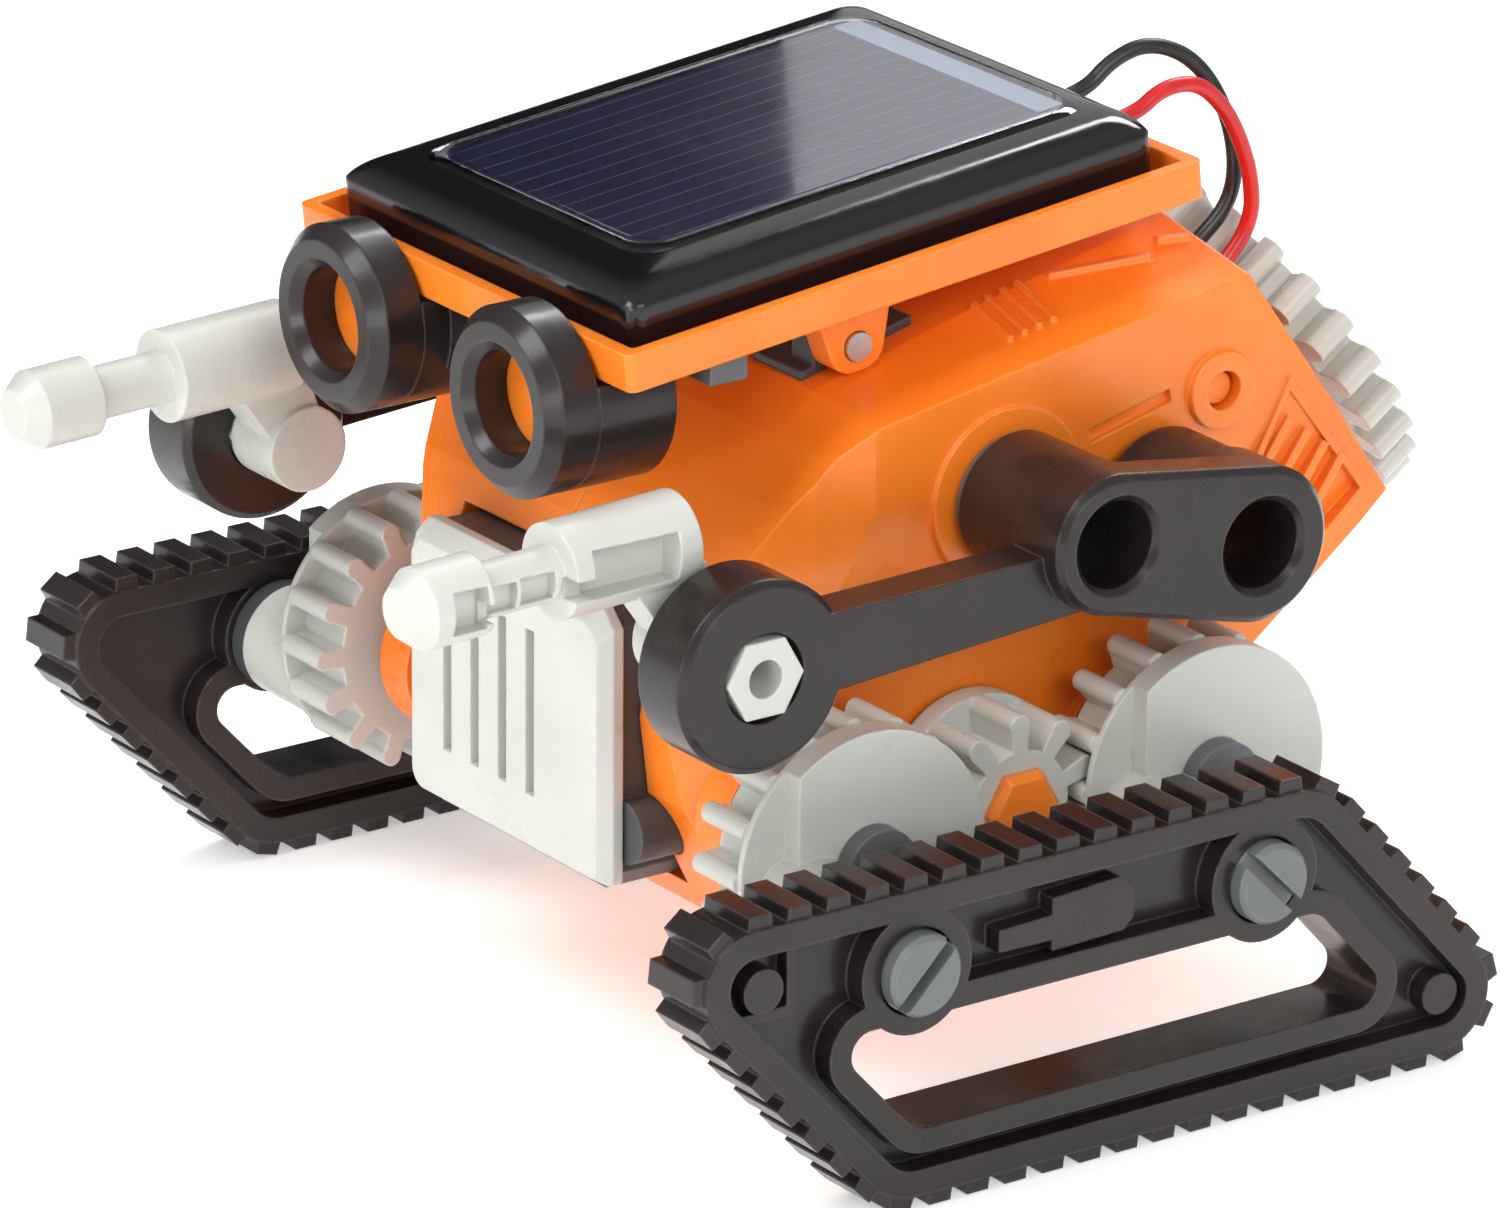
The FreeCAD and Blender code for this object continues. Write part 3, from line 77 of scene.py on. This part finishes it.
for row in range(3):
    place[row][0] = right_rolled[row]
    place[row][1] = up_rolled[row]
    place[row][2] = back[row]
    place[row][3] = CAMERA_PLACE[row]
camera.matrix_world = place
bpy.context.scene.camera = camera


# ---------------------------------------------------------------- node helpers
def new_material(name, base, rough, metallic=0.0, ior=1.5):
    """Principled material with its constants on the shader's own sockets."""
    material = bpy.data.materials.new(name)
    material.use_nodes = True
    shader = material.node_tree.nodes["Principled BSDF"]
    shader.inputs["Base Color"].default_value = (*base, 1.0)
    shader.inputs["Roughness"].default_value = rough
    shader.inputs["Metallic"].default_value = metallic
    shader.inputs["IOR"].default_value = ior
    return material, material.node_tree, shader


def add(tree, kind, **settings):
    node = tree.nodes.new(kind)
    for key, value in settings.items():
        if key in node.inputs:
            node.inputs[key].default_value = value
        else:
            setattr(node, key, value)
    return node


def noise(tree, scale, detail=4.0, rough=0.55):
    coords = add(tree, "ShaderNodeTexCoord")
    node = add(tree, "ShaderNodeTexNoise", Scale=scale, Detail=detail, Roughness=rough)
    tree.links.new(coords.outputs["Object"], node.inputs["Vector"])
    return node.outputs["Fac"]


def spread(tree, source, low, high, at=(0.35, 0.65)):
    node = add(tree, "ShaderNodeMapRange")
    node.inputs["From Min"].default_value = at[0]
    node.inputs["From Max"].default_value = at[1]
    node.inputs["To Min"].default_value = low
    node.inputs["To Max"].default_value = high
    tree.links.new(source, node.inputs["Value"])
    return node.outputs["Result"]


def blend_colour(tree, factor, one, two):
    node = add(tree, "ShaderNodeMix", data_type="RGBA")
    tree.links.new(factor, node.inputs[0])
    node.inputs[6].default_value = (*one, 1.0)
    node.inputs[7].default_value = (*two, 1.0)
    return node.outputs[2]


def layer_colour(tree, factor, under, over):
    """Puts a constant colour over a linked one by a linked factor."""
    node = add(tree, "ShaderNodeMix", data_type="RGBA")
    tree.links.new(factor, node.inputs[0])
    tree.links.new(under, node.inputs[6])
    node.inputs[7].default_value = (*over, 1.0)
    return node.outputs[2]


def edge_mask(tree, radius):
    """1 on sharp edges and 0 on flats, from the difference of the bevelled and the true normal."""
    bevel = add(tree, "ShaderNodeBevel", samples=6)
    bevel.inputs["Radius"].default_value = radius
    geometry = add(tree, "ShaderNodeNewGeometry")
    dot = add(tree, "ShaderNodeVectorMath", operation="DOT_PRODUCT")
    tree.links.new(bevel.outputs["Normal"], dot.inputs[0])
    tree.links.new(geometry.outputs["True Normal"], dot.inputs[1])
    return spread(tree, dot.outputs["Value"], 1.0, 0.0, (0.86, 0.99))


def moulded(name, base, deeper, rough, scatter=0.0, scatter_colour=(1, 1, 1), edge=0.00035,
            grain=0.12, edge_highlight=None, coat=0.0, ior=1.5):
    """Injection-moulded plastic: slow colour drift, fine grain, soft moulded edges, painted highlight tint
    on sharp edges.
    """
    material, tree, shader = new_material(name, base, rough, ior=ior)
    drift = noise(tree, 55.0, 3.0)
    colour = blend_colour(tree, spread(tree, drift, 0.0, 1.0), base, deeper)
    highlight_breakup = noise(tree, 900.0, 5.0, 0.65)
    # lighter colour painted on sharp edges as a painted highlight, broken up by fine noise
    if edge_highlight is not None:
        mask = edge_mask(tree, edge * 1.2)
        patch = add(tree, "ShaderNodeMath", operation="MULTIPLY")
        tree.links.new(mask, patch.inputs[0])
        tree.links.new(spread(tree, highlight_breakup, 0.15, 0.7), patch.inputs[1])
        colour = layer_colour(tree, patch.outputs[0], colour, edge_highlight)
    tree.links.new(colour, shader.inputs["Base Color"])
    smudge = noise(tree, 140.0, 6.0, 0.6)
    tree.links.new(spread(tree, smudge, rough * 0.78, rough * 1.3), shader.inputs["Roughness"])
    fine = noise(tree, 5200.0, 3.0, 0.5)
    bevel = add(tree, "ShaderNodeBevel", samples=6)
    bevel.inputs["Radius"].default_value = edge
    bump = add(tree, "ShaderNodeBump", Strength=grain, Distance=0.00004)
    tree.links.new(fine, bump.inputs["Height"])
    tree.links.new(bevel.outputs["Normal"], bump.inputs["Normal"])
    tree.links.new(bump.outputs["Normal"], shader.inputs["Normal"])
    if scatter:
        shader.inputs["Subsurface Weight"].default_value = scatter
        shader.inputs["Subsurface Radius"].default_value = (1.0, 0.6, 0.3)
        shader.inputs["Subsurface Scale"].default_value = 0.0012
    if coat:
        shader.inputs["Coat Weight"].default_value = coat
        shader.inputs["Coat Roughness"].default_value = 0.08
    return material


# the last colour given to each moulding is a painted highlight on its sharp edges
orange = moulded("orange_moulding", (0.93, 0.225, 0.017), (0.86, 0.180, 0.010), 0.30, scatter=0.12,
                 edge_highlight=(0.95, 0.36, 0.08), grain=0.10)
white = moulded("white_moulding", (0.56, 0.565, 0.525), (0.52, 0.525, 0.485), 0.32, scatter=0.08,
                edge_highlight=(0.80, 0.805, 0.765), grain=0.10)
black = moulded("black_moulding", (0.020, 0.015, 0.0145), (0.015, 0.011, 0.0105), 0.27,
                edge_highlight=(0.09, 0.068, 0.063), grain=0.10, coat=0.08, ior=1.40)
housing = moulded("grey_housing", (0.056, 0.060, 0.063), (0.044, 0.047, 0.050), 0.42,
                  edge_highlight=(0.15, 0.155, 0.16), grain=0.2)
pin_grey = moulded("grey_pin", (0.135, 0.145, 0.148), (0.105, 0.113, 0.116), 0.36,
                   edge_highlight=(0.24, 0.26, 0.27), grain=0.15)


def plain_metal(name, base, rough, stretch):
    material, tree, shader = new_material(name, base, rough, 1.0)
    coords = add(tree, "ShaderNodeTexCoord")
    mapping = add(tree, "ShaderNodeMapping")
    mapping.inputs["Scale"].default_value = stretch
    tree.links.new(coords.outputs["Object"], mapping.inputs["Vector"])
    lines = add(tree, "ShaderNodeTexNoise", Scale=1.0, Detail=6.0, Roughness=0.6)
    tree.links.new(mapping.outputs["Vector"], lines.inputs["Vector"])
    tree.links.new(spread(tree, lines.outputs["Fac"], rough * 0.85, rough * 1.2), shader.inputs["Roughness"])
    bump = add(tree, "ShaderNodeBump", Strength=0.04, Distance=0.00002)
    tree.links.new(lines.outputs["Fac"], bump.inputs["Height"])
    tree.links.new(bump.outputs["Normal"], shader.inputs["Normal"])
    return material


steel = plain_metal("turned_steel", (0.56, 0.57, 0.58), 0.28, (4000, 300, 300))
brass = plain_metal("turned_brass", (0.72, 0.52, 0.20), 0.30, (300, 3000, 300))

# ---------------------------------------------------------------- solar panel materials
panel_black, tree, shader = new_material("panel_black", (0.006, 0.006, 0.007), 0.10)
tree.links.new(spread(tree, noise(tree, 70.0, 5.0), 0.06, 0.16), shader.inputs["Roughness"])
bevel = add(tree, "ShaderNodeBevel", samples=8)
bevel.inputs["Radius"].default_value = 0.0008
tree.links.new(bevel.outputs["Normal"], shader.inputs["Normal"])

# wafer: navy silicon crossed by fine printed fingers along the length
wafer, tree, shader = new_material("solar_wafer", (0.006, 0.006, 0.040), 0.3)
coords = add(tree, "ShaderNodeTexCoord")
split = add(tree, "ShaderNodeSeparateXYZ")
tree.links.new(coords.outputs["Object"], split.inputs["Vector"])
fingers = add(tree, "ShaderNodeMath", operation="PINGPONG")
tree.links.new(split.outputs["X"], fingers.inputs[0])
fingers.inputs[1].default_value = 0.00125
line = spread(tree, fingers.outputs[0], 1.0, 0.0, (0.00004, 0.00009))
grain = blend_colour(tree, spread(tree, noise(tree, 260.0, 6.0, 0.7), 0.0, 1.0),
                     (0.004, 0.004, 0.030), (0.010, 0.009, 0.060))
tree.links.new(layer_colour(tree, line, grain, (0.16, 0.16, 0.42)), shader.inputs["Base Color"])
silver, tree, shader = new_material("silver_print", (0.50, 0.60, 0.72), 0.4, 0.3)
tree.links.new(spread(tree, noise(tree, 800.0, 4.0), 0.3, 0.5), shader.inputs["Roughness"])
resin, tree, shader = new_material("clear_resin", (0.92, 0.93, 0.97), 0.04)
shader.inputs["Transmission Weight"].default_value = 1.0
shader.inputs["IOR"].default_value = 1.5
tree.links.new(spread(tree, noise(tree, 60.0, 4.0), 0.02, 0.07), shader.inputs["Roughness"])


def lead_material(name, base, deeper):
    material, tree, shader = new_material(name, base, 0.33)
    tree.links.new(blend_colour(tree, spread(tree, noise(tree, 300.0), 0.0, 1.0), base, deeper),
                   shader.inputs["Base Color"])
    tree.links.new(spread(tree, noise(tree, 700.0, 5.0), 0.26, 0.42), shader.inputs["Roughness"])
    return material


red_pvc = lead_material("red_pvc", (0.62, 0.012, 0.012), (0.50, 0.008, 0.010))
black_pvc = lead_material("black_pvc", (0.012, 0.012, 0.013), (0.020, 0.020, 0.022))

# ---------------------------------------------------------------- free cords
LEADS = {
    "black_wire": ([(8.0, 28.56, 78.20), (8.0, 31.59, 78.53), (8.1, 34.4, 80.95), (8.6, 38.2, 82.1),
                    (9.6, 42.4, 80.2), (10.9, 44.9, 75.9), (12.0, 45.6, 71.0), (12.4, 44.6, 67.0),
                    (11.9, 41.4, 63.9), (11.9, 38.40, 61.74)], black_pvc, "black_lead"),
    "red_wire": ([(15.4, 28.58, 78.00), (15.4, 31.57, 78.33), (15.4, 34.4, 80.2), (15.4, 38.2, 80.2),
                  (15.3, 41.4, 77.4), (15.2, 43.4, 74.0), (15.0, 44.9, 70.2), (14.8, 45.3, 66.0),
                  (14.6, 42.47, 62.37), (14.6, 39.47, 60.21)], red_pvc, "red_lead"),
}
LEAD_WIDTH = 1.45 * MM


def lead_curve(name, points, bevel):
    data = bpy.data.curves.new(name, "CURVE")
    data.dimensions = "3D"
    spline = data.splines.new("NURBS")
    spline.points.add(len(points) - 1)
    for point, place in zip(spline.points, points):
        point.co = (*place, 1.0)
    spline.order_u = 3
    spline.use_endpoint_u = True
    spline.resolution_u = 16
    data.bevel_depth = bevel
    data.bevel_resolution = 6
    return data


def lead(name, route, material):
    points = [Vector((x, y + SHIFT, z)) * MM for x, y, z in route]
    line = bpy.data.objects.new(name + "_line", lead_curve(name + "_line", points, 0.0))
    tube = bpy.data.objects.new(name + "_tube", lead_curve(name + "_tube", points, LEAD_WIDTH / 2))
    for thing in (line, tube):
        bpy.context.scene.collection.objects.link(thing)
    bpy.context.view_layer.update()
    graph = bpy.context.evaluated_depsgraph_get()
    path = [tuple(v.co) for v in bpy.data.meshes.new_from_object(line.evaluated_get(graph)).vertices]
    mesh = bpy.data.meshes.new_from_object(tube.evaluated_get(graph))
    bpy.data.objects.remove(line)
    bpy.data.objects.remove(tube)
    piece = bpy.data.objects.new(name + "_sleeve", mesh)
    bpy.context.scene.collection.objects.link(piece)
    mesh.materials.clear()
    mesh.materials.append(material)
    mesh.polygons.foreach_set("use_smooth", [True] * len(mesh.polygons))
    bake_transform(piece)
    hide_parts(name)
    return piece


for name, (route, material, slot_name) in LEADS.items():
    lead(name, route, material)

# ---------------------------------------------------------------- materials on the solid pieces
# the first prefix that starts a part's name gives its material
PREFIXES = (
    ("track_pin", pin_grey), ("gear_cap", pin_grey), ("arm_peg", pin_grey), ("tray_clip", pin_grey),
    ("rear_bearing", pin_grey), ("track_", black), ("arm_", black), ("eye_back", orange),
    ("eye_", black), ("crank_bushing", housing), ("motor_housing", housing), ("neck_bracket", housing),
    ("crank_gear", white), ("middle_gear", white), ("gun_", white), ("rear_wheel", white),
    ("motor_cover", white), ("reduction_gear", white), ("axle_gear", white), ("worm_wheel", white),
    ("body_shell", orange), ("head_tray", orange), ("main_axle", orange),
    ("solar_panel_case", panel_black), ("solar_cell", wafer), ("solar_busbar", silver),
    ("solar_resin", resin), ("motor_can", steel), ("motor_rotor", steel), ("gear_shaft", steel),
    ("wheel_shaft", steel), ("head_hinge_pin", steel), ("side_screws", orange), ("drive_worm", brass),
)
for thing in list(bpy.data.objects):
    if "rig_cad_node" not in thing or thing.type != "MESH":
        continue
    for prefix, material in PREFIXES:
        if thing.name.startswith(prefix):
            for material_slot in thing.material_slots:
                material_slot.material = material
            break

# ---------------------------------------------------------------- stage and light
floor_mesh = bpy.data.meshes.new("floor")
floor_mesh.from_pydata([(-4, -4, -0.0001), (4, -4, -0.0001), (4, 4, -0.0001), (-4, 4, -0.0001)],
                       [], [(0, 1, 2, 3)])
floor = bpy.data.objects.new("floor", floor_mesh)
bpy.context.scene.collection.objects.link(floor)
floor_look, tree, shader = new_material("pale_floor", (0.88, 0.88, 0.88), 0.7)
# the floor is a light table, so the picture keeps a white ground under the robot
shader.inputs["Emission Color"].default_value = (1.0, 1.0, 1.0, 1.0)
shader.inputs["Emission Strength"].default_value = 0.42
floor_mesh.materials.append(floor_look)

world = bpy.data.worlds.new("studio")
bpy.context.scene.world = world
world.use_nodes = True
world_tree = world.node_tree
background = world_tree.nodes["Background"]
background.inputs["Strength"].default_value = 0.55
# dark side of the studio behind the robot, which the panel and the tread pads mirror
heading = add(world_tree, "ShaderNodeTexCoord")
facing = add(world_tree, "ShaderNodeVectorMath", operation="DOT_PRODUCT")
world_tree.links.new(heading.outputs["Generated"], facing.inputs[0])
facing.inputs[1].default_value = (-0.78, 0.47, 0.41)
shade = spread(world_tree, facing.outputs["Value"], 0.0, 1.0, (0.55, 0.93))
world_tree.links.new(blend_colour(world_tree, shade, (1.0, 1.0, 1.0), (0.03, 0.03, 0.035)),
                     background.inputs["Color"])

CARD_PLACE = (-0.354, 0.364, 0.33)
ROBOT = (0, 0, 0.04)


def softbox(name, place, target, size, power, colour=(1, 1, 1)):
    data = bpy.data.lights.new(name, "AREA")
    data.shape = "RECTANGLE"
    data.size, data.size_y = size
    data.energy = power
    data.color = colour
    thing = bpy.data.objects.new(name, data)
    thing.location = place
    aim = Vector(target) - Vector(place)
    thing.rotation_euler = aim.to_track_quat("-Z", "Y").to_euler()
    bpy.context.scene.collection.objects.link(thing)
    return thing


softbox("key", (-0.05, -0.55, 0.75), ROBOT, (0.4, 0.4), 4.6)
# low light that reaches the nose and the flank under the roof tray
softbox("low_front", (0.30, -0.75, 0.12), (0, 0, 0.05), (0.3, 0.2), 1.3)
softbox("fill", (0.75, -0.15, 0.45), ROBOT, (0.5, 0.4), 3.0)
softbox("back", (-0.35, 0.65, 0.75), (0, 0, 0.06), (0.5, 0.25), 5.0)
# narrow card mirrored in the rear half of the panel
softbox("card", CARD_PLACE, (0, 0, 0.078), (0.26, 0.42), 0.30)
bpy.context.scene.view_settings.view_transform = "Standard"
